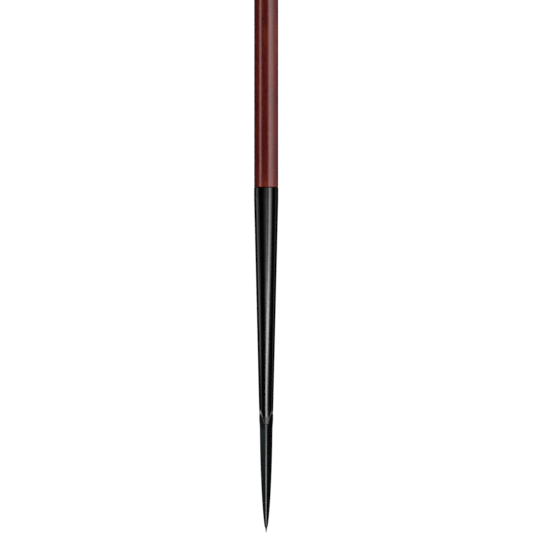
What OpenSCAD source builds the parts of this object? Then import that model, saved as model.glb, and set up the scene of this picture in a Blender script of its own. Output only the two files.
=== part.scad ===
// Calligraphy brush: round wooden handle, long tapered black ferrule with a
// scalloped mouth, and a pointed hair tuft that is dressed to three flats.
// Millimetres. The origin is the writing point of the tuft and +Z runs up the
// handle. One narrow ridge of the tuft faces -Y.

/* [Handle] */
// Diameter of the wooden handle
handle_d = 8; // [7.4:0.1:10]
// Length of bare wood between the ferrule and the tail cap
handle_l = 137.7; // [100:0.1:180]
// Chamfer on the two ends of the handle
handle_chamfer = 0.15; // [0.05:0.05:0.3]
// Diameter of the tenon that the handle is glued into the ferrule with
tenon_d = 5; // [3:0.1:6]
// Length of that tenon
tenon_l = 15; // [8:0.5:20]

/* [Tail cap] */
// Length of the tail cap beyond the wood
cap_l = 12; // [10:0.5:16]
// Height of the cap's straight band, below its dome
cap_band_l = 4; // [3:0.1:5]
// Height of the turned groove above the foot of the cap
cap_groove_z = 2.2; // [1.5:0.1:2.6]
// Radius of the turned groove
cap_groove_r = 0.3; // [0.1:0.05:0.4]
// Diameter of the spigot that the cap is glued into the handle with
spigot_d = 4; // [3:0.1:4.6]
// Length of that spigot
spigot_l = 8; // [5:0.5:12]
// Diameter of the cross hole that a hanging loop goes through
eye_d = 2.2; // [1.5:0.1:2.6]
// Height of the cross hole above the foot of the cap
eye_z = 6.4; // [5.5:0.1:7]
// Length of the cross hole's straight wall, between its two countersinks
eye_l = 6.2; // [5:0.1:6.5]

/* [Ferrule] */
// Length of the ferrule, from the crowns of its scallops to the wood
ferrule_l = 74.5; // [60:0.1:90]
// How much wider than the wood the ferrule's collar is, on the diameter
collar_step = 0.1; // [0:0.02:0.2]
// Length of the straight collar at the wood
collar_l = 3.8; // [2:0.1:6]
// Round on the collar's edge
collar_round = 0.2; // [0.1:0.05:0.4]
// Outer diameter of the ferrule at the crowns of its scallops
mouth_d = 4.72; // [4.4:0.02:5.6]
// How far the tongues between the scallops reach past the crowns
tongue_l = 4.4; // [1:0.1:4.6]
// How far the end of a tongue stands above the hair beyond it
tongue_step = 0.02; // [0:0.01:0.05]
// Slope of the scallops' ramps against the axis, in degrees
scallop_slope = 9; // [8:0.5:16]
// Thickness of the ferrule's wall at the crowns of its scallops
lip_t = 0.18; // [0.14:0.01:0.3]
// Length of that thin wall above the crowns
lip_l = 1; // [0.5:0.1:2]
// Length of the cone that draws the mouth in to the bore
lip_cone_l = 1.5; // [1:0.1:3]
// Diameter of the bore that holds the tuft's root
bore_d = 4; // [3.3:0.01:4.2]
// Depth of that bore, from the crowns of the scallops
bore_l = 14; // [11:0.5:20]

/* [Tuft] */
// Length of the hair outside, from the writing point to the crowns of the scallops
tuft_l = 40.8; // [34:0.2:50]
// Diameter over the ridges of the tuft at its belly
belly_d = 4.68; // [4.4:0.02:5.2]
// Fullness of the tuft's outline: the lower the value, the blunter the point
fullness = 0.6; // [0.5:0.02:0.9]
// Half the angle that each narrow ridge between two flats takes of the circle
ridge_angle = 8.2; // [5:0.1:14]
// Radius of the bend where a flat turns up into the ramp of a scallop
runout_r = 8; // [5:0.5:12]
// Diameter of the core of long hairs at the belly
core_d = 2.2; // [1.6:0.02:2.64]
// Height at which the coat hairs end and the core alone makes the point
coat_tip_z = 1.2; // [0.8:0.1:3]

/* [Root] */
// Thickness of the rosin plug behind the hair
plug_l = 2.5; // [1.5:0.1:4]
// Diameter of the binding threads
thread_d = 0.28; // [0.2:0.02:0.34]
// Turns of thread in each binding
thread_turns = 5; // [3:1:7]
// Bare hair between the coat's binding and the rosin plug, and between the two bindings
binding_gap = 1; // [0.6:0.1:1.5]

/* [Bending] */
// Height of the crowns of the scallops above the axis that the tuft bends about
bend_drop = 8; // [7.5:0.1:10]
// Radius of the round end that the free hair turns on
knuckle_r = 2.4; // [2.4:0.05:2.6]
// Gap between the round end and the hair that stays still
knuckle_gap = 0.15; // [0.1:0.05:0.3]

/* [Clearances] */
// Glue gap round a tenon or spigot, on the radius
glue_gap = 0.05; // [0.03:0.01:0.1]
// Gap between a tenon's end and the bottom of its socket
socket_relief = 0.5; // [0.2:0.1:1]
// Gap between packed pieces of the tuft
hair_gap = 0.03; // [0.02:0.01:0.05]

/* [Hidden] */
$fn = 96;
flats = 3;
outline_steps = 18;
runout_steps = 4;
dome_steps = 24;
cut_margin = 1;

// Heights along the brush
mouth_z = tuft_l;
wood_z = mouth_z + ferrule_l;
cap_z = wood_z + handle_l;
ferrule_end_z = mouth_z - tongue_l;
bend_z = mouth_z - bend_drop;
bore_end_z = mouth_z + bore_l;
hair_end_z = bore_end_z - plug_l;

// Radii that several pieces share
handle_r = handle_d / 2;
collar_r = handle_r + collar_step / 2;
mouth_r = mouth_d / 2;
lip_r = mouth_r - lip_t;
root_r = bore_d / 2 - hair_gap;
core_r = core_d / 2;

// The flats: distance from the axis as a share of the ridge radius, how far a
// ramp climbs to its crown, and the height at which the bend into it begins
flat_share = cos(180 / flats - ridge_angle);
ramp_rise = mouth_r - flat_share * belly_d / 2;
runout_rise = runout_r * (1 - cos(scallop_slope));
runout_l = runout_r * sin(scallop_slope);
runout_z = mouth_z - (ramp_rise - runout_rise) / tan(scallop_slope) - runout_l;

// Outer radius at the ends of the tongues, which are all but flush with the hair
tongue_r = ridge_r(ferrule_end_z) + tongue_step;

// The bindings: overlapping rings of thread, the coat's nearer to the plug
thread_pitch = 0.9 * thread_d;
binding_l = thread_pitch * (thread_turns - 1) + thread_d;
coat_binding_z = hair_end_z - binding_gap - binding_l;
core_binding_z = coat_binding_z - binding_gap - binding_l;

// Radius over the ridges of the tuft at height z
function ridge_r(z) = belly_d / 2 * pow(1 - pow(1 - z / tuft_l, 2), fullness);

// Heights from the point to the start of the ramps, closer together at the point
function outline_z(step) = runout_z * pow(step / outline_steps, 2);

// A round rod with a small chamfer on its lower end
module chamfered_rod(r, length, chamfer) {
    rotate_extrude()
        polygon([[0, 0], [r - chamfer, 0], [r, chamfer], [r, length], [0, length]]);
}

// Body of revolution of the tuft's outline, its radius multiplied by scale_r
module tuft_outline(scale_r, top_z) {
    rotate_extrude()
        polygon(concat(
            [for (step = [0:outline_steps]) [scale_r * ridge_r(outline_z(step)), outline_z(step)]],
            [[scale_r * ridge_r(runout_z), top_z], [0, top_z]]
        ));
}

// What the flats and the ramps of the scallops take away, all round the brush
module flat_cutters() {
    reach = 2 * handle_d;
    ramp_start = [flat_share * ridge_r(runout_z) + runout_rise, runout_z + runout_l];
    ramp_end = ramp_start + (mouth_z - runout_z) * [tan(scallop_slope), 1];
    profile = concat(
        [for (step = [0:outline_steps]) [flat_share * ridge_r(outline_z(step)), outline_z(step)]],
        [for (step = [1:runout_steps]) let (angle = scallop_slope * step / runout_steps)
            ramp_start + runout_r * [cos(scallop_slope) - cos(angle), sin(angle) - sin(scallop_slope)]],
        [ramp_end, [reach, ramp_end.y], [reach, -cut_margin], [0, -cut_margin]]
    );
    for (side = [0:flats - 1])
        rotate([0, 0, 360 * (side + 0.5) / flats - 90])
            rotate([90, 0, 0])
                linear_extrude(height = reach, center = true)
                    polygon(profile);
}

// A ball about the bending axis, as large as the free hair's round end plus gap
module knuckle_ball(gap) {
    translate([0, 0, bend_z])
        sphere(r = knuckle_r + gap);
}

// Keeps what lies below the bending axis, and what lies within the round end
module free_hair_envelope() {
    knuckle_ball(0);
    translate([0, 0, -cut_margin])
        cylinder(r = handle_d, h = bend_z + cut_margin);
}

// The space for the tuft's root, its radius less gap: wide within the mouth, then drawn in
module root_space(gap, top_z) {
    cone_z = mouth_z + lip_l;
    rotate_extrude()
        polygon([
            [0, bend_z], [lip_r - gap, bend_z], [lip_r - gap, cone_z],
            [bore_d / 2 - gap, cone_z + lip_cone_l], [bore_d / 2 - gap, top_z], [0, top_z]
        ]);
}

// Rings of thread laid side by side round a bundle of radius r
module binding(r, z) {
    for (turn = [0:thread_turns - 1])
        translate([0, 0, z + thread_d / 2 + turn * thread_pitch])
            rotate_extrude()
                translate([r + thread_d / 2, 0])
                    circle(d = thread_d, $fn = 24);
}

// Round wooden rod with a tenon in front and a socket behind
module handle() {
    color([0.33, 0.08, 0.07])
    difference() {
        union() {
            translate([0, 0, wood_z])
                chamfered_rod(handle_r, handle_l / 2, handle_chamfer);
            translate([0, 0, cap_z])
                mirror([0, 0, 1])
                    chamfered_rod(handle_r, handle_l / 2, handle_chamfer);
            translate([0, 0, wood_z - tenon_l])
                chamfered_rod(tenon_d / 2, tenon_l + handle_chamfer, 2 * handle_chamfer);
        }
        translate([0, 0, cap_z - spigot_l - socket_relief])
            cylinder(d = spigot_d + 2 * glue_gap, h = spigot_l + socket_relief + cut_margin);
    }
}

// Black taper: three scallops leave three tongues over the ridges of the tuft
module ferrule() {
    color([0.05, 0.05, 0.06])
    difference() {
        rotate_extrude()
            polygon(concat(
                [[0, ferrule_end_z], [tongue_r, ferrule_end_z], [mouth_r, mouth_z], [collar_r, wood_z - collar_l]],
                [for (angle = [0:15:90])
                    [collar_r - collar_round * (1 - cos(angle)), wood_z - collar_round * (1 - sin(angle))]],
                [[0, wood_z]]
            ));
        root_space(0, bore_end_z);
        translate([0, 0, wood_z - tenon_l - socket_relief])
            cylinder(d = tenon_d + 2 * glue_gap, h = tenon_l + socket_relief + cut_margin);
        flat_cutters();
    }
}

// Black turned cap with a spigot below and a cross-drilled hanging eye
module tail_cap() {
    dome_l = cap_l - cap_band_l;
    color([0.05, 0.05, 0.06])
    translate([0, 0, cap_z])
    difference() {
        union() {
            rotate_extrude()
                polygon(concat(
                    [[0, 0], [handle_r - handle_chamfer, 0], [handle_r, handle_chamfer], [handle_r, cap_band_l]],
                    [for (step = [1:dome_steps]) let (angle = 90 * step / dome_steps)
                        [handle_r * cos(angle), cap_band_l + dome_l * sin(angle)]]
                ));
            translate([0, 0, -spigot_l])
                chamfered_rod(spigot_d / 2, spigot_l + handle_chamfer, 2 * handle_chamfer);
        }
        translate([0, 0, cap_groove_z])
            rotate_extrude()
                translate([handle_r, 0])
                    circle(r = cap_groove_r, $fn = 32);
        translate([0, 0, eye_z])
            rotate([0, 90, 0])
                cylinder(d = eye_d, h = 2 * handle_d, center = true);
        for (side = [0, 180])
            translate([0, 0, eye_z])
                rotate([0, 90, side])
                    translate([0, 0, eye_l / 2])
                        cylinder(r1 = eye_d / 2, r2 = eye_d / 2 + handle_r, h = handle_r);
    }
}

// Rosin that seals the cut ends of the hair at the bottom of the bore
module rosin_plug() {
    color([0.62, 0.36, 0.12])
    translate([0, 0, hair_end_z])
        cylinder(r = root_r, h = plug_l);
}

// Bound root of the core, which stays still inside the ferrule
module core_hair_root() {
    color([0.16, 0.15, 0.15])
    difference() {
        translate([0, 0, bend_z])
            cylinder(r = core_r, h = hair_end_z - bend_z);
        knuckle_ball(knuckle_gap);
    }
}

// Thread that binds the core
module core_binding_thread() {
    color([0.82, 0.78, 0.68])
    binding(core_r + hair_gap, core_binding_z);
}

// Sleeve of coat hair round the core's root, waisted under its binding and
// swelling out to the full belly where it leaves the ferrule
module coat_hair_root() {
    inner_r = core_r + hair_gap;
    color([0.1, 0.1, 0.11])
    difference() {
        union() {
            root_space(hair_gap, hair_end_z);
            intersection() {
                tuft_outline(1, ferrule_end_z - hair_gap);
                translate([0, 0, bend_z])
                    cylinder(r = handle_d, h = mouth_z);
            }
        }
        translate([0, 0, bend_z - cut_margin])
            cylinder(r = inner_r, h = hair_end_z - bend_z + 2 * cut_margin);
        translate([0, 0, core_binding_z - hair_gap])
            cylinder(r = inner_r + thread_d + hair_gap, h = binding_l + 2 * hair_gap);
        translate([0, 0, coat_binding_z - hair_gap])
            difference() {
                cylinder(r = handle_r, h = binding_l + 2 * hair_gap);
                translate([0, 0, -cut_margin])
                    cylinder(r = root_r - thread_d - hair_gap, h = binding_l + 2 * cut_margin);
            }
        knuckle_ball(knuckle_gap);
        flat_cutters();
    }
}

// Thread that binds the whole root
module coat_binding_thread() {
    color([0.82, 0.78, 0.68])
    binding(root_r - thread_d, coat_binding_z);
}

// Free ends of the core hairs, which make the writing point
module core_hair_point() {
    color([0.16, 0.15, 0.15])
    intersection() {
        tuft_outline(core_r / (belly_d / 2), mouth_z);
        free_hair_envelope();
    }
}

// Free ends of the coat hairs, dressed to three flats round the core
module coat_hair_point() {
    color([0.1, 0.1, 0.11])
    difference() {
        intersection() {
            tuft_outline(1, mouth_z);
            free_hair_envelope();
        }
        flat_cutters();
        tuft_outline((core_r + hair_gap) / (belly_d / 2), mouth_z + cut_margin);
        translate([0, 0, -cut_margin])
            cylinder(r = handle_r, h = coat_tip_z + cut_margin);
    }
}

handle();
ferrule();
tail_cap();
rosin_plug();
core_hair_root();
core_binding_thread();
coat_hair_root();
coat_binding_thread();
core_hair_point();
coat_hair_point();
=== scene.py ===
"""The looks of a calligraphy brush: lacquered wooden handle, black tapered ferrule
with a scalloped mouth, a gummed three-sided tuft, and a polished tail cap."""
import math

import bpy
import numpy as np
from mathutils import Matrix, Vector


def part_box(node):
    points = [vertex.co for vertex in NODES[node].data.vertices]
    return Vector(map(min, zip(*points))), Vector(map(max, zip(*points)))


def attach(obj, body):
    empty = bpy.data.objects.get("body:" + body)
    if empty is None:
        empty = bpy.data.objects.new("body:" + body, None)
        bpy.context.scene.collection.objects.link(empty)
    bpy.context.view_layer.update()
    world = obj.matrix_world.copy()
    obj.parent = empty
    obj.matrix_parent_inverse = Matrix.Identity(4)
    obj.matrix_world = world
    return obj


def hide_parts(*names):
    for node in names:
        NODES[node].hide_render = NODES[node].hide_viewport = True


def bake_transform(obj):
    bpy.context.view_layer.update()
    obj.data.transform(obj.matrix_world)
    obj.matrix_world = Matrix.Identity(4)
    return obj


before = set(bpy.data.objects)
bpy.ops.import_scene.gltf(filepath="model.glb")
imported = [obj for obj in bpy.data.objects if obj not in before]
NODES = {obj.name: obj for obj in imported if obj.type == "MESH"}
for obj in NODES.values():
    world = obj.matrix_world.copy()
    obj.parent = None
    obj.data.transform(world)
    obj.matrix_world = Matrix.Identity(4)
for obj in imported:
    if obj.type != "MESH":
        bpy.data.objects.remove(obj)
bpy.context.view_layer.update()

MM = 0.001

# Heights and radii that the frame gives
FERRULE_LOW, FERRULE_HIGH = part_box("ferrule")
BINDING_LOW, BINDING_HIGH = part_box("coat_binding_thread")
CORE_BINDING_LOW, CORE_BINDING_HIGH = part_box("core_binding_thread")
FERRULE_END_Z = FERRULE_LOW.z
WOOD_Z = FERRULE_HIGH.z
ROOT_TOP_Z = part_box("coat_hair_root")[1].z

# Outline of the tuft, as in the design: from the point to the crowns of the scallops
TUFT_L = 40.8 * MM
BELLY_R = 2.34 * MM
FULLNESS = 0.6

# Its flats, and the ramp by which each one climbs to a crown of the scallops
FLATS = 3
RIDGE_ANGLE = math.radians(8.2)
RAMP_SLOPE = math.radians(9)
RUNOUT_R = 8 * MM
CROWN_R = 2.36 * MM
EDGE_ROUND = 0.10 * MM

# Its root in the ferrule: wide inside the thin lip, then drawn in to the bore
LIP_R = 2.15 * MM
LIP_L = 1.0 * MM
LIP_CONE_L = 1.5 * MM
ROOT_R = 1.97 * MM
WAIST_DEPTH = 0.3 * MM
THREAD_R = 0.125 * MM
HAIR_GAP = 0.03 * MM

# The core, whose share of the outline grows between the two swell heights to fill the point
CORE_R = 1.1 * MM
COAT_TIP_Z = 1.2 * MM
POINT_SHARE = 0.6
RIM_SHARE = 0.95
SWELL_LOW = 1.0 * MM
SWELL_HIGH = 7.0 * MM


# ---------------------------------------------------------------- shader maths

class Value:
    """A node's output; arithmetic on it adds Math nodes to its graph."""

    def __init__(self, graph, socket):
        self.graph = graph
        self.socket = socket

    def _math(self, operation, first, second):
        return self.graph.node("ShaderNodeMath", {"operation": operation}, {0: first, 1: second})

    def __add__(self, other):
        return self._math("ADD", self, other)

    __radd__ = __add__

    def __sub__(self, other):
        return self._math("SUBTRACT", self, other)

    def __rsub__(self, other):
        return self._math("SUBTRACT", other, self)

    def __mul__(self, other):
        return self._math("MULTIPLY", self, other)

    __rmul__ = __mul__

    def __truediv__(self, other):
        return self._math("DIVIDE", self, other)

    def __pow__(self, other):
        return self._math("POWER", self, other)

    def least(self, other):
        return self._math("MINIMUM", self, other)

    def sine(self):
        return self._math("SINE", self, 0.0)

    def cosine(self):
        return self._math("COSINE", self, 0.0)


class Graph:
    """A node tree under construction."""

    def __init__(self, tree):
        self.tree = tree

    def node(self, kind, settings=None, inputs=None, output=0):
        """Adds one node: its settings first, then the values or links of its sockets."""
        made = self.tree.nodes.new(kind)
        for name, setting in (settings or {}).items():
            setattr(made, name, setting)
        for name, value in (inputs or {}).items():
            self.feed(made.inputs[name], value)
        return Value(self, made.outputs[output])

    def feed(self, socket, value):
        if isinstance(value, Value):
            self.tree.links.new(value.socket, socket)
        else:
            socket.default_value = value

    def vector(self, x, y, z):
        return self.node("ShaderNodeCombineXYZ", inputs={0: x, 1: y, 2: z})

    def spread(self, value, low, high, to_low=0.0, to_high=1.0):
        """Maps low..high smoothly to to_low..to_high, held at the ends."""
        inputs = {"Value": value, "From Min": low, "From Max": high, "To Min": to_low, "To Max": to_high}
        return self.node("ShaderNodeMapRange", {"interpolation_type": "SMOOTHSTEP"}, inputs)


class Finish(Graph):
    """A material under construction: one Principled shader and what feeds it."""

    def __init__(self, name, constants):
        self.material = bpy.data.materials.new(name)
        self.material.use_nodes = True
        super().__init__(self.material.node_tree)
        self.tree.nodes.clear()
        output = self.tree.nodes.new("ShaderNodeOutputMaterial")
        self.shader = self.tree.nodes.new("ShaderNodeBsdfPrincipled")
        self.tree.links.new(self.shader.outputs["BSDF"], output.inputs["Surface"])
        for socket, constant in constants.items():
            self.shader.inputs[socket].default_value = constant

    def place(self, stretch=(1, 1, 1)):
        """Object coordinates in millimetres, each axis multiplied by stretch."""
        coordinates = self.node("ShaderNodeTexCoord", output="Object")
        scale = tuple(axis / MM for axis in stretch)
        return self.node("ShaderNodeVectorMath", {"operation": "MULTIPLY"}, {0: coordinates, 1: scale})

    def height(self):
        """Height above the writing point in millimetres."""
        return self.node("ShaderNodeSeparateXYZ", inputs={0: self.place()}, output=2)

    def noise(self, vector, scale, detail=3.0, roughness=0.55, distortion=0.0):
        inputs = {"Vector": vector, "Scale": scale, "Detail": detail, "Roughness": roughness,
                  "Distortion": distortion}
        return self.node("ShaderNodeTexNoise", inputs=inputs)

    def mix(self, share, first, second):
        """Blends two colours, given as tuples or outputs."""
        first, second = [(*c, 1) if isinstance(c, tuple) else c for c in (first, second)]
        made = self.node("ShaderNodeMix", {"data_type": "RGBA"}, output=2)
        sockets = made.socket.node.inputs
        for index, value in ((0, share), (6, first), (7, second)):
            self.feed(sockets[index], value)
        return made

    def bump(self, height, distance, strength):
        inputs = {"Height": height, "Distance": distance, "Strength": strength}
        return self.node("ShaderNodeBump", inputs=inputs)

    def done(self, **varying):
        for socket, value in varying.items():
            self.feed(self.shader.inputs[socket.replace("_", " ")], value)
        return self.material


class Maker(Graph):
    """A Geometry Nodes tree under construction, with named number inputs."""

    def __init__(self, name, **numbers):
        super().__init__(bpy.data.node_groups.new(name, "GeometryNodeTree"))
        self.name = name
        self.numbers = numbers
        self.identifiers = {}
        for number, value in numbers.items():
            kind = "NodeSocketInt" if isinstance(value, int) else "NodeSocketFloat"
            socket = self.tree.interface.new_socket(number, in_out="INPUT", socket_type=kind)
            self.identifiers[number] = socket.identifier
        self.tree.interface.new_socket("Geometry", in_out="OUTPUT", socket_type="NodeSocketGeometry")
        self.given_node = self.tree.nodes.new("NodeGroupInput")

    def given(self, number):
        return Value(self, self.given_node.outputs[number])

    def sweep(self, curve, outline, scale):
        return self.node("GeometryNodeCurveToMesh", inputs={
            "Curve": curve, "Profile Curve": outline, "Scale": scale, "Fill Caps": True})

    def piece(self, geometry, material):
        """Runs the tree once and returns what it made as a plain mesh object."""
        joined = self.node("GeometryNodeRealizeInstances", inputs={"Geometry": geometry})
        finished = self.node("GeometryNodeSetMaterial", inputs={
            "Geometry": joined, "Material": material})
        output = self.tree.nodes.new("NodeGroupOutput")
        self.feed(output.inputs[0], finished)
        carrier = bpy.data.objects.new(self.name, bpy.data.meshes.new(self.name))
        bpy.context.scene.collection.objects.link(carrier)
        modifier = carrier.modifiers.new(self.name, "NODES")
        modifier.node_group = self.tree
        for number, value in self.numbers.items():
            modifier[self.identifiers[number]] = value
        evaluated = carrier.evaluated_get(bpy.context.evaluated_depsgraph_get())
        mesh = bpy.data.meshes.new_from_object(evaluated)
        carrier.modifiers.remove(modifier)
        mesh.shade_smooth()
        carrier.data = mesh
        return carrier


# ------------------------------------------------------------------- finishes

def lacquered_wood():
    """Dark red-brown close-grained wood under a thin clear lacquer."""
    f = Finish("lacquered_wood", {"IOR": 1.5, "Specular IOR Level": 0.43})
    figure = f.noise(f.place((0.5, 0.5, 0.06)), 1.0, 4.0, 0.6, 0.6)
    streaks = f.noise(f.place((2.4, 2.4, 0.10)), 1.0, 4.0, 0.62, 0.3)
    fibres = f.noise(f.place((9, 9, 0.5)), 1.0, 3.0, 0.6)
    pores = f.spread(f.noise(f.place((6.5, 6.5, 0.4)), 1.0, 2.0, 0.5), 0.58, 0.70)
    flecks = f.noise(f.place((1.9, 1.9, 0.8)), 1.0, 3.0, 0.6)
    blotches = f.spread(f.noise(f.place((0.32, 0.32, 0.11)), 1.0, 2.0, 0.5), 0.56, 0.72)
    wood_z = WOOD_Z / MM
    foot = f.spread(f.height(), wood_z + 9, wood_z + 1.5)
    foot_patches = foot * f.spread(f.noise(f.place((0.42, 0.42, 0.3)), 1.0, 2.0, 0.5), 0.40, 0.62)

    heart = f.mix(f.spread(figure, 0.35, 0.65), (0.042, 0.0022, 0.0016), (0.080, 0.0046, 0.0030))
    warm = f.mix((blotches * 0.55 + foot_patches * 0.9).least(1.0), heart, (0.118, 0.0150, 0.0046))
    grained = f.mix(f.spread(streaks, 0.38, 0.62) * 0.45, warm, (0.032, 0.0020, 0.0019))
    flecked = f.mix(f.spread(flecks, 0.50, 0.68) * 0.35, grained, (0.105, 0.0080, 0.0062))
    fibrous = f.mix(f.spread(fibres, 0.35, 0.7) * 0.2, flecked, (0.13, 0.0120, 0.0090))
    colour = f.mix(pores * 0.45, fibrous, (0.018, 0.0012, 0.0011))

    orange_peel = f.noise(f.place((1.3, 1.3, 0.5)), 1.0, 3.0)
    lacquer_height = orange_peel + flecks * 0.5 - pores * 0.2 + fibres * 0.15
    lacquer_normal = f.bump(lacquer_height, 0.016 * MM, 0.75)
    rubbed = f.spread(flecks, 0.3, 0.7, 0.15, 0.21)
    return f.done(Base_Color=colour, Roughness=rubbed + pores * 0.06, Normal=lacquer_normal)


def black_lacquer():
    """Gloss-black lacquer with faint handling marks, dulled by ink at the tips of its tongues."""
    f = Finish("black_lacquer", {"Specular IOR Level": 0.5})
    rubbing = f.noise(f.place((9, 9, 0.12)), 1.0, 3.0, 0.6)
    handling = f.noise(f.place((0.35, 0.35, 0.16)), 1.0, 4.0, 0.6, 0.5)
    specks = f.spread(f.noise(f.place((2.4, 2.4, 2.4)), 1.0, 2.0), 0.66, 0.74)
    colour = f.mix(f.spread(handling, 0.3, 0.7), (0.0002, 0.0002, 0.0003), (0.0008, 0.0008, 0.0009))
    tongue_tip_z = FERRULE_END_Z / MM
    inked = f.spread(f.height(), tongue_tip_z + 2.9, tongue_tip_z + 1.9)
    gloss = f.spread(handling, 0.3, 0.7, 0.125, 0.165) + f.spread(rubbing, 0.3, 0.7, 0.0, 0.03)
    roughness = gloss + inked * 0.17
    height = rubbing * 0.25 + f.noise(f.place((0.5, 0.5, 0.12)), 1.0) - specks * 0.3
    normal = f.bump(height, 0.012 * MM, 0.5)
    return f.done(Base_Color=colour, Roughness=roughness, Normal=normal)


def polished_horn():
    """Black horn of the tail cap: faint brown streaks under a hand polish."""
    f = Finish("polished_horn", {"Specular IOR Level": 0.5})
    streaks = f.noise(f.place((1.6, 1.6, 0.22)), 1.0, 5.0, 0.6, 0.8)
    swirl = f.noise(f.place((0.8, 0.8, 5)), 1.0, 3.0, 0.6)
    colour = f.mix(f.spread(streaks, 0.5, 0.8), (0.0012, 0.0012, 0.0013), (0.0085, 0.0048, 0.0034))
    roughness = f.spread(streaks, 0.3, 0.7, 0.14, 0.2) + f.spread(swirl, 0.3, 0.7, 0.0, 0.05)
    normal = f.bump(streaks * 0.6 + swirl * 0.3, 0.010 * MM, 0.5)
    return f.done(Base_Color=colour, Roughness=roughness, Normal=normal)


def gummed_hair(name, dark, light):
    """Black hair laid straight and stiffened with size, so that it shines."""
    f = Finish(name, {"Specular IOR Level": 0.12, "Coat IOR": 1.45, "Coat Roughness": 0.2})
    hairs = f.noise(f.place((16, 16, 0.10)), 1.0, 2.0, 0.6)
    locks = f.noise(f.place((3.4, 3.4, 0.05)), 1.0, 3.0, 0.6, 0.2)
    film = f.noise(f.place((0.7, 0.7, 0.2)), 1.0, 3.0)
    colour = f.mix(f.spread(hairs, 0.35, 0.7), dark, light)
    height = hairs * 0.5 + locks * 0.5
    normal = f.bump(height, 0.010 * MM, 0.45)
    roughness = f.spread(hairs, 0.3, 0.7, 0.3, 0.42)
    return f.done(Base_Color=colour, Roughness=roughness, Normal=normal,
                  Coat_Weight=f.spread(film, 0.3, 0.7, 0.28, 0.4))


def waxed_thread():
    """Undyed two-ply thread, darkened by wax between its plies."""
    f = Finish("waxed_thread", {"Specular IOR Level": 0.4, "Sheen Weight": 0.3, "Sheen Roughness": 0.5})
    fuzz = f.noise(f.place((30, 30, 30)), 1.0, 2.0)
    soil = f.noise(f.place((1.2, 1.2, 1.2)), 1.0, 3.0)
    colour = f.mix(f.spread(soil, 0.3, 0.7), (0.55, 0.44, 0.28), (0.72, 0.64, 0.48))
    return f.done(Base_Color=colour, Roughness=f.spread(fuzz, 0.3, 0.7, 0.5, 0.7),
                  Normal=f.bump(fuzz, 0.02 * MM, 0.6))


def amber_rosin():
    """Brittle amber rosin with small bubbles and a dull skin."""
    f = Finish("amber_rosin", {"Specular IOR Level": 0.5, "Coat Weight": 0.4, "Coat Roughness": 0.15})
    clouds = f.noise(f.place((1.1, 1.1, 1.1)), 1.0, 4.0)
    bubbles = f.spread(f.noise(f.place((6, 6, 6)), 1.0, 2.0), 0.6, 0.7)
    colour = f.mix(f.spread(clouds, 0.3, 0.7), (0.23, 0.075, 0.012), (0.42, 0.17, 0.035))
    return f.done(Base_Color=colour, Roughness=f.spread(clouds, 0.3, 0.7, 0.25, 0.45),
                  Normal=f.bump(clouds * 0.6 - bubbles * 0.5, 0.04 * MM, 0.7))


# ----------------------------------------------------------------------- tuft

def ridge_radius(z):
    """Radius over the ridges of the tuft at height z."""
    return BELLY_R * (1 - (1 - np.clip(z / TUFT_L, 0, 1)) ** 2) ** FULLNESS


def flat_distance(z):
    """Distance of a flat from the axis at height z, up through its ramp."""
    share = math.cos(math.pi / FLATS - RIDGE_ANGLE)
    rise = CROWN_R - share * BELLY_R
    bend_rise = RUNOUT_R * (1 - math.cos(RAMP_SLOPE))
    bend_l = RUNOUT_R * math.sin(RAMP_SLOPE)
    bend_start = TUFT_L - (rise - bend_rise) / math.tan(RAMP_SLOPE) - bend_l
    along = np.clip(z - bend_start, 0, bend_l)
    bend = RUNOUT_R - np.sqrt(RUNOUT_R ** 2 - along ** 2)
    ramp = np.clip(z - bend_start - bend_l, 0, None) * math.tan(RAMP_SLOPE)
    return share * ridge_radius(np.minimum(z, bend_start)) + bend + ramp


def soft_minimum(a, b, width):
    """The smaller of a and b, rounded off over width where they meet."""
    share = np.clip(0.5 + 0.5 * (b - a) / width, 0, 1)
    return b * (1 - share) + a * share - width * share * (1 - share)


def smooth_step(value, low, high):
    share = np.clip((value - low) / (high - low), 0, 1)
    return share * share * (3 - 2 * share)


def tuft_radius(angle, z):
    """Radius of the coat hairs round the brush; a ridge faces -Y."""
    sector = 2 * math.pi / FLATS
    from_flat = (angle + math.pi / 2) % sector - sector / 2
    round_r = ridge_radius(np.minimum(z, FERRULE_END_Z))
    flat_r = flat_distance(z) / np.cos(from_flat)
    free = soft_minimum(round_r, flat_r, EDGE_ROUND)
    drawn_in = smooth_step(z, TUFT_L + LIP_L, TUFT_L + LIP_L + LIP_CONE_L)
    in_bore = np.minimum(LIP_R + (ROOT_R - LIP_R) * drawn_in, flat_r)
    inside = smooth_step(z, FERRULE_END_Z - 0.07 * MM, FERRULE_END_Z - 0.01 * MM)
    radius = free * (1 - inside) + np.minimum(in_bore, free) * inside
    below_top = 1 - smooth_step(z, BINDING_HIGH.z, BINDING_HIGH.z + 0.4 * MM)
    waist = smooth_step(z, BINDING_LOW.z - 0.5 * MM, BINDING_LOW.z) * below_top
    return radius - waist * WAIST_DEPTH


def hair_relief(angle, z):
    """Depth of the grooves between hairs, from fixed waves that run with them."""
    groove_count = 108
    groove_depth = 0.007 * MM
    slow_wander = 0.25 * np.sin(z / (9.0 * MM) + 2.1 * np.sin(3 * angle))
    quick_wander = 0.18 * np.sin(z / (3.7 * MM) + 5 * angle)
    phase = groove_count * angle + (slow_wander + quick_wander)
    groove = (0.5 - 0.5 * np.cos(phase)) ** 2
    uneven = 0.55 + 0.3 * np.sin(7 * angle + z / (6 * MM)) * np.sin(17 * angle - z / (11 * MM))
    thin_out = smooth_step(z, 0.6 * MM, 9 * MM)
    return groove_depth * groove * uneven * (0.15 + 0.85 * thin_out)


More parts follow.
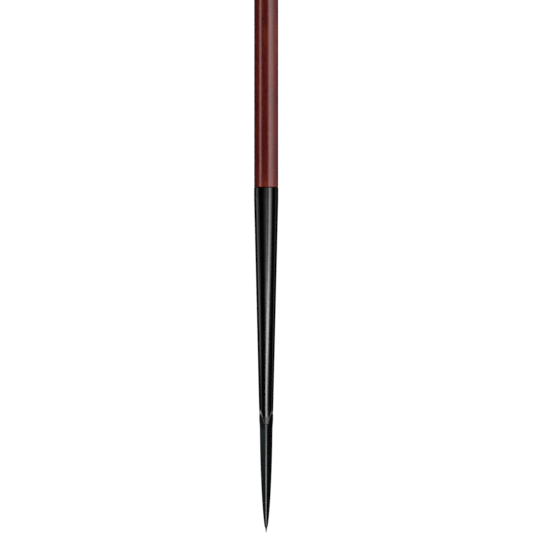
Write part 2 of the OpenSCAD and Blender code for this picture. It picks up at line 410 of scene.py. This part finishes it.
def ring_mesh(name, rings, hollow):
    """Mesh of equal rings: joined end to end if hollow, else closed by a pole at each end."""
    rings = np.asarray(rings)
    ring_count, around = rings.shape[:2]
    vertices = rings.reshape(-1, 3)
    faces = []
    for ring in range(ring_count if hollow else ring_count - 1):
        low, high = ring * around, (ring + 1) % ring_count * around
        for step in range(around):
            after = (step + 1) % around
            faces.append((low + step, low + after, high + after, high + step))
    if not hollow:
        low_pole, high_pole, last = len(vertices), len(vertices) + 1, (ring_count - 1) * around
        vertices = np.vstack([vertices, rings[0].mean(axis=0), rings[-1].mean(axis=0)])
        for step in range(around):
            after = (step + 1) % around
            faces.append((low_pole, after, step))
            faces.append((high_pole, last + step, last + after))
    mesh = bpy.data.meshes.new(name)
    mesh.from_pydata(vertices.tolist(), [], faces)
    mesh.shade_smooth()
    piece = bpy.data.objects.new(name, mesh)
    bpy.context.scene.collection.objects.link(piece)
    return piece


def core_radius(z):
    """Radius of the core of long hairs, which fills out the point below the coat."""
    share = CORE_R / BELLY_R
    swell = 1 - smooth_step(z, SWELL_LOW, SWELL_HIGH)
    return ridge_radius(z) * (share + (POINT_SHARE - share) * swell)


def coat_hairs():
    """Sleeve of coat hairs: up its outside from the point to the root, then down its inside."""
    around = 420
    # rings stand closest at the point and at the ferrule's mouth
    point = COAT_TIP_Z + 24.8 * MM * (np.linspace(0, 1, 66) ** 1.6)
    belly = np.linspace(26.4 * MM, FERRULE_END_Z - 0.3 * MM, 24)
    mouth = np.linspace(FERRULE_END_Z - 0.08 * MM, FERRULE_END_Z + 0.02 * MM, 8)
    scallops = np.linspace(FERRULE_END_Z + 0.1 * MM, TUFT_L, 26)
    root = np.linspace(TUFT_L + 0.8 * MM, BINDING_LOW.z - 0.6 * MM, 14)
    bound = np.linspace(BINDING_LOW.z - 0.4 * MM, ROOT_TOP_Z, 16)
    heights = np.concatenate([point, belly, mouth, scallops, root, bound])
    angles = np.linspace(0, 2 * math.pi, around, endpoint=False)
    angle, z = np.meshgrid(angles, heights)
    outside = tuft_radius(angle, z) - hair_relief(angle, z)
    # near its end the coat draws in to a rim just inside the core's outline
    tucked = smooth_step(z, COAT_TIP_Z, COAT_TIP_Z + 1.4 * MM)
    rim = core_radius(z) * RIM_SHARE
    outside = rim + (outside - rim) * tucked

    # down the inside, which stands back where the core is bound
    above, upper = CORE_BINDING_HIGH.z + 0.3 * MM, CORE_BINDING_HIGH.z + HAIR_GAP
    lower, below = CORE_BINDING_LOW.z - HAIR_GAP, CORE_BINDING_LOW.z - 0.3 * MM
    inner_heights = np.concatenate([
        np.linspace(ROOT_TOP_Z, above, 3),
        np.linspace(upper, lower, 5),
        np.linspace(below, 2 * MM, 20)])
    inner_angle, inner_z = np.meshgrid(angles, inner_heights)
    at_binding = smooth_step(inner_z, below, lower) * (1 - smooth_step(inner_z, upper, above))
    inside = core_radius(inner_z) + HAIR_GAP + at_binding * (2 * THREAD_R + 2 * HAIR_GAP)

    angle, z = np.vstack([angle, inner_angle]), np.vstack([z, inner_z])
    radius = np.vstack([outside, inside])
    rings = np.stack([radius * np.cos(angle), radius * np.sin(angle), z], axis=-1)
    return ring_mesh("tuft_coat_hairs", rings, hollow=True)


def core_hairs(material):
    """The long hairs of the core, from their cut ends at the root to the writing point."""
    m = Maker("tuft_core_hairs", hairs=170, seed=7, bundle_radius=CORE_R / MM, hair_radius=0.085,
              root_height=(ROOT_TOP_Z - 0.01 * MM) / MM, full_height=TUFT_L / MM, tip_spread=0.8)
    line = m.node("GeometryNodeCurvePrimitiveLine", inputs={"End": (0, 0, 1)})
    resampled = m.node("GeometryNodeResampleCurve", inputs={"Curve": line, "Count": 44})
    copies = m.node("GeometryNodeDuplicateElements", {"domain": "SPLINE"},
                    {"Geometry": resampled, "Amount": m.given("hairs")})
    which = m.node("GeometryNodeCurveOfPoint")
    along = m.node("GeometryNodeSplineParameter")
    chance = m.node("FunctionNodeRandomValue", {"data_type": "FLOAT"},
                    {"ID": which, "Seed": m.given("seed")}, output=1)

    golden_turn = math.pi * (3 - math.sqrt(5))
    angle = which * golden_turn
    share = ((which + 0.5) / m.given("hairs")) ** 0.5
    tip = m.given("tip_spread") * share ** 1.5 * (chance * 0.6 + 0.4)
    z = tip + (m.given("root_height") - tip) * along ** 1.7
    to_full = 1.0 - (z / m.given("full_height")).least(1.0)
    outline = (1.0 - to_full * to_full) ** FULLNESS
    swell = m.spread(z, SWELL_HIGH / MM, SWELL_LOW / MM)
    gathered = 1.0 + swell * (POINT_SHARE * BELLY_R / CORE_R - 1)
    wander = (z * 0.55 + chance * 40).sine() * 0.05
    reach = (m.given("bundle_radius") - m.given("hair_radius")) * outline * gathered * share
    position = m.vector(reach * (angle + wander).cosine(), reach * (angle + wander).sine(), z)
    placed = m.node("GeometryNodeSetPosition", inputs={"Geometry": copies, "Position": position})
    thickness = m.given("hair_radius") * (0.12 + m.spread(along, 0.0, 0.5) * 0.88)
    outline_curve = m.node("GeometryNodeCurvePrimitiveCircle", inputs={"Resolution": 6, "Radius": 1.0})
    swept = m.sweep(placed, outline_curve, thickness)
    scaled = m.node("GeometryNodeTransform", inputs={"Geometry": swept, "Scale": (MM, MM, MM)})
    return m.piece(scaled, material)


def wound_thread(name, low, high, material):
    """Two-ply thread wound round a bundle of hair between two corners of its box."""
    m = Maker(name, turns=4.0, winding_radius=(high.x - THREAD_R) / MM, thread_radius=THREAD_R / MM,
              rise=(high.z - low.z - 2 * THREAD_R) / MM, ply_turns=40.0)
    spiral = m.node("GeometryNodeCurveSpiral", inputs={
        "Resolution": 110, "Rotations": m.given("turns"), "Start Radius": m.given("winding_radius"),
        "End Radius": m.given("winding_radius"), "Height": m.given("rise")})
    along = m.node("GeometryNodeSplineParameter")
    twisted = m.node("GeometryNodeSetCurveTilt", inputs={
        "Curve": spiral, "Tilt": along * m.given("ply_turns") * 2 * math.pi})
    ends = m.spread(along, 0.0, 0.012) * m.spread(along, 1.0, 0.988)
    circle = m.node("GeometryNodeCurvePrimitiveCircle", inputs={"Resolution": 14, "Radius": 1.0})
    round_it = m.node("GeometryNodeSplineParameter")
    lobes = (0.80 + (round_it * 4 * math.pi).cosine() * 0.20) * m.given("thread_radius")
    spot = round_it * 2 * math.pi
    two_plies = m.node("GeometryNodeSetPosition", inputs={
        "Geometry": circle, "Position": m.vector(spot.cosine() * lobes, spot.sine() * lobes, 0.0)})
    swept = m.sweep(twisted, two_plies, 0.3 + ends * 0.7)
    placed = m.node("GeometryNodeTransform", inputs={
        "Geometry": swept, "Translation": (0, 0, low.z + THREAD_R), "Scale": (MM, MM, MM)})
    return m.piece(placed, material)


def rosin_seal():
    """Plug of rosin: pitted below by the hair ends, dished above where it wetted the bore."""
    low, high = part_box("rosin_plug")
    around = 96
    radius = high.x
    angles = np.linspace(0, 2 * math.pi, around, endpoint=False)
    rings = []

    def add(share, height, waviness):
        r = radius * share
        wave = np.sin(5 * angles + 9 * share) * np.sin(3 * angles - 14 * share)
        z = height + waviness * wave
        rings.append(np.stack([r * np.cos(angles), r * np.sin(angles), z], axis=-1))

    for share in np.linspace(0.06, 0.94, 16):
        pits = 0.05 * MM * (0.5 + 0.5 * np.sin(29 * angles + 40 * share) * np.sin(61 * share))
        add(share, low.z + 0.06 * MM + pits, 0.03 * MM)
    add(0.985, low.z + 0.02 * MM, 0.01 * MM)
    for share, height in ((1.0, 0.08), (0.992, 0.4), (0.998, 0.9), (0.99, 1.5), (1.0, 2.1), (1.0, 2.42)):
        add(share, low.z + height * MM, 0.015 * MM)
    for share in np.linspace(0.97, 0.06, 16):
        meniscus = 0.55 * MM * (1 - share ** 4)
        add(share, high.z - 0.03 * MM - meniscus, 0.02 * MM * (1 - share))
    return ring_mesh("rosin_seal", rings, hollow=False)


# ------------------------------------------------------------- studio and view

def area_light(name, top, bottom, width, radiance, colour=(1, 1, 1)):
    """A soft strip between two points, facing the axis of the brush."""
    top, bottom = Vector(top), Vector(bottom)
    centre = (top + bottom) / 2
    along = (top - bottom).normalized()
    outward = Vector((centre.x, centre.y, 0))
    outward = (outward - along * outward.dot(along)).normalized()
    across = along.cross(outward)
    data = bpy.data.lights.new(name, "AREA")
    data.shape = "RECTANGLE"
    data.size, data.size_y = width, (top - bottom).length
    data.energy = radiance * math.pi * data.size * data.size_y
    data.color = colour
    light = bpy.data.objects.new(name, data)
    light.matrix_world = Matrix((across, along, outward)).transposed().to_4x4()
    light.location = centre
    light.visible_camera = False
    bpy.context.scene.collection.objects.link(light)
    return light


def strip(name, azimuth, heights, distance, width_degrees, radiance, colour=(1, 1, 1)):
    """An upright strip light at an azimuth round the axis, between two heights in mm."""
    a = math.radians(azimuth)
    top, bottom = [(distance * math.sin(a), -distance * math.cos(a), height * MM) for height in heights]
    return area_light(name, top, bottom, distance * math.radians(width_degrees), radiance, colour)


def bent_strip(name, knots, distance, colour=(1, 1, 1)):
    """A strip through knots of (height in mm, azimuth, width in degrees, radiance), in upright steps."""
    widest_step = 2.5
    lights = []
    for upper, lower in zip(knots, knots[1:]):
        steps = max(1, math.ceil(abs(upper[1] - lower[1]) / widest_step))
        for step in range(steps):
            low_share, share, high_share = (step + 1) / steps, (step + 0.5) / steps, step / steps
            height = [upper[0] + (lower[0] - upper[0]) * part for part in (high_share, low_share)]
            azimuth, width, radiance = [a + (b - a) * share for a, b in zip(upper[1:], lower[1:])]
            lights.append(strip(name, azimuth, height, distance, width, radiance, colour))
    return lights


def light_only(lights, receivers, name):
    """Each of the lights falls on these pieces alone."""
    group = bpy.data.collections.new(name)
    for piece in receivers:
        group.objects.link(piece)
    for light in lights:
        light.light_linking.receiver_collection = group


def surround():
    """An even white surround, which gloss mirrors only faintly."""
    world = bpy.data.worlds.new("surround")
    bpy.context.scene.world = world
    world.use_nodes = True
    nodes, links = world.node_tree.nodes, world.node_tree.links
    background = nodes["Background"]
    path = nodes.new("ShaderNodeLightPath")
    strength = nodes.new("ShaderNodeMapRange")
    strength.inputs["To Min"].default_value = 1.02
    strength.inputs["To Max"].default_value = 0.006
    links.new(path.outputs["Is Glossy Ray"], strength.inputs["Value"])
    links.new(strength.outputs["Result"], background.inputs["Strength"])
    background.inputs["Color"].default_value = (1, 1, 1, 1)


def pale_floor():
    """A plain pale floor, well below the brush."""
    floor_mesh = bpy.data.meshes.new("floor")
    reach, floor_z = 2.6, -0.25
    corners = [(x * reach, y * reach, floor_z) for x, y in ((-1, -1), (1, -1), (1, 1), (-1, 1))]
    floor_mesh.from_pydata(corners, [], [(0, 1, 2, 3)])
    floor = bpy.data.objects.new("floor", floor_mesh)
    bpy.context.scene.collection.objects.link(floor)
    pale = Finish("pale_floor", {
        "Base Color": (0.86, 0.86, 0.86, 1), "Roughness": 0.9, "Specular IOR Level": 0.1})
    floor_mesh.materials.append(pale.material)
    floor.visible_glossy = False


def light_handle(handle):
    """Rosy strips that run the length of the lacquered wood."""
    rosy = (1.0, 0.76, 0.74)
    heights, distance = (290, 90), 0.40
    on_wood = []
    for name, azimuth, width, radiance in (
            ("wood_left", -58, 21, 4.2),
            ("wood_right_rise", 22, 12, 2.0),
            ("wood_right", 38, 24, 5.6),
            ("wood_right_fall", 60, 20, 3.8),
            ("wood_right_low", 80, 20, 1.5),
            ("wood_right_wrap", 105, 30, 0.8),
            ("wood_back", 180, 16, 3.0)):
        on_wood.append(strip(name, azimuth, heights, distance, width, radiance, rosy))
    light_only(on_wood, [handle], "wood_receivers")


def light_ferrule(ferrule):
    """Strips that draw the taper's long highlights and light its cut edges."""
    near, mid, far = 0.20, 0.25, 0.30
    on_ferrule = bent_strip("main", [
        (128, 32.5, 12, 7.0), (88, 31, 15, 7.6), (71, 25.5, 20, 11), (54, 15.5, 30, 15), (42, 7, 26, 12),
        (30, 1, 23, 13), (16, -1, 22, 12.5)], near)
    on_ferrule += bent_strip("main_fall", [
        (128, 45, 12, 3.6), (83, 43, 12, 3.2), (60, 34, 9, 3), (50, 27, 7, 2), (16, 16, 7, 1.5)], near)
    on_ferrule += bent_strip("main_far_fall", [
        (128, 55, 10, 1.1), (83, 52, 10, 0.8), (66, 44, 8, 0.5)], near)
    on_ferrule += bent_strip("shoulder", [
        (128, 6, 17, 0.95), (98, 6, 17, 1.1), (83, 5, 16, 2.4), (70, 2, 14, 3.4),
        (60, -2, 10, 3.6)], near)
    on_ferrule += bent_strip("shoulder_fall", [
        (128, -14, 24, 0.33), (83, -12, 18, 0.3), (60, -12, 10, 0.3)], near)
    on_ferrule += bent_strip("left", [
        (124, -101, 19, 1.6), (83, -96, 19, 1.7), (62, -90, 18, 2.7), (48, -87, 18, 2.4),
        (30, -79, 14, 0.35), (16, -76, 12, 0.3)], far)
    on_ferrule += bent_strip("left_fall", [
        (124, -84, 14, 0.45), (83, -76, 12, 0.5), (62, -72, 10, 0.9), (48, -72, 8, 0.3)], far)
    on_ferrule += bent_strip("right", [(124, 106, 9, 0.65), (16, 99, 9, 0.65)], far)
    on_ferrule += bent_strip("back", [(124, 180, 12, 5), (16, 180, 12, 4)], far)
    on_ferrule += bent_strip("mouth_left", [(8, -121.5, 26, 2.4), (-26, -121.5, 26, 2.4)], mid)
    on_ferrule += bent_strip("mouth_right", [(8, 121.5, 26, 0.95), (-26, 121.5, 26, 0.95)], mid)
    light_only(on_ferrule, [ferrule], "ferrule_receivers")


def light_cap(tail_cap):
    """Three upright strips for the polished horn."""
    top, bottom, distance = 340, 215, 0.20
    on_cap = []
    for name, azimuth, width, radiance in (
            ("cap_main", 34, 16, 7), ("cap_left", -64, 20, 1.8), ("cap_back", 180, 16, 4)):
        on_cap.append(strip(name, azimuth, (top, bottom), distance, width, radiance))
    light_only(on_cap, [tail_cap], "cap_receivers")


def light_tuft(hair_pieces):
    """A bright strip along the front ridge, a cool faint one on the left flat, one behind."""
    cool = (0.72, 1.0, 1.08)
    near, mid = 0.20, 0.25
    on_tuft = bent_strip("ridge", [
        (44, 2, 26, 9), (30, 2, 26, 8.5), (22, 2, 26, 7.5), (12, 2, 27, 10), (0, 1, 28, 15.5),
        (-17, -4, 28, 15), (-44, -14, 42, 28), (-150, -14, 46, 36)], near)
    on_tuft += bent_strip("left_flat", [
        (46, -121, 30, 0.58), (27, -121, 30, 0.45), (20, -121, 30, 0.1), (12, -121, 30, 0.05),
        (-14, -121, 30, 0.08)], mid, cool)
    on_tuft += bent_strip("back_flat", [(46, 180, 30, 0.5), (-14, 180, 30, 0.4)], mid)
    light_only(on_tuft, hair_pieces, "tuft_receivers")


def camera():
    """A long lens, level with the middle of the lower two thirds of the brush."""
    view_height = 177.7 * MM
    distance = 2.0
    sensor = 36.0
    sideways = 0.11 * MM
    data = bpy.data.cameras.new("camera")
    data.sensor_width = sensor
    data.lens = sensor * distance / view_height
    data.clip_start, data.clip_end = 0.1, 20
    view = bpy.data.objects.new("camera", data)
    view.location = (sideways, -distance, view_height / 2)
    view.rotation_euler = (math.pi / 2, 0, 0)
    bpy.context.scene.collection.objects.link(view)
    bpy.context.scene.camera = view
    bpy.context.scene.view_settings.view_transform = "Standard"


def finish_node(name, material):
    """Gives a CAD piece its finish."""
    mesh = NODES[name].data
    mesh.materials.clear()
    mesh.materials.append(material)


finish_node("handle", lacquered_wood())
finish_node("ferrule", black_lacquer())
finish_node("tail_cap", polished_horn())
thread = waxed_thread()
core_finish = gummed_hair("core_hair", (0.0010, 0.0012, 0.0013), (0.0030, 0.0034, 0.0036))
coat_finish = gummed_hair("coat_hair", (0.0006, 0.0008, 0.0009), (0.0020, 0.0025, 0.0028))

coat = coat_hairs()
coat.data.materials.append(coat_finish)
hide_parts("coat_hair_root", "coat_hair_point")
core = core_hairs(core_finish)
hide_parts("core_hair_root", "core_hair_point")
for bundle, slot in ((coat, "coat_hair"), (core, "core_hair")):
    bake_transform(bundle)

for node, corners in (("coat_binding_thread", (BINDING_LOW, BINDING_HIGH)),
                      ("core_binding_thread", (CORE_BINDING_LOW, CORE_BINDING_HIGH))):
    winding = wound_thread(node.replace("thread", "winding"), *corners, thread)
    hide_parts(node)
    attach(winding, "brush")

seal = rosin_seal()
seal.data.materials.append(amber_rosin())
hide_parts("rosin_plug")
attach(seal, "brush")

surround()
pale_floor()
light_handle(NODES["handle"])
light_ferrule(NODES["ferrule"])
light_cap(NODES["tail_cap"])
light_tuft([coat, core])
camera()
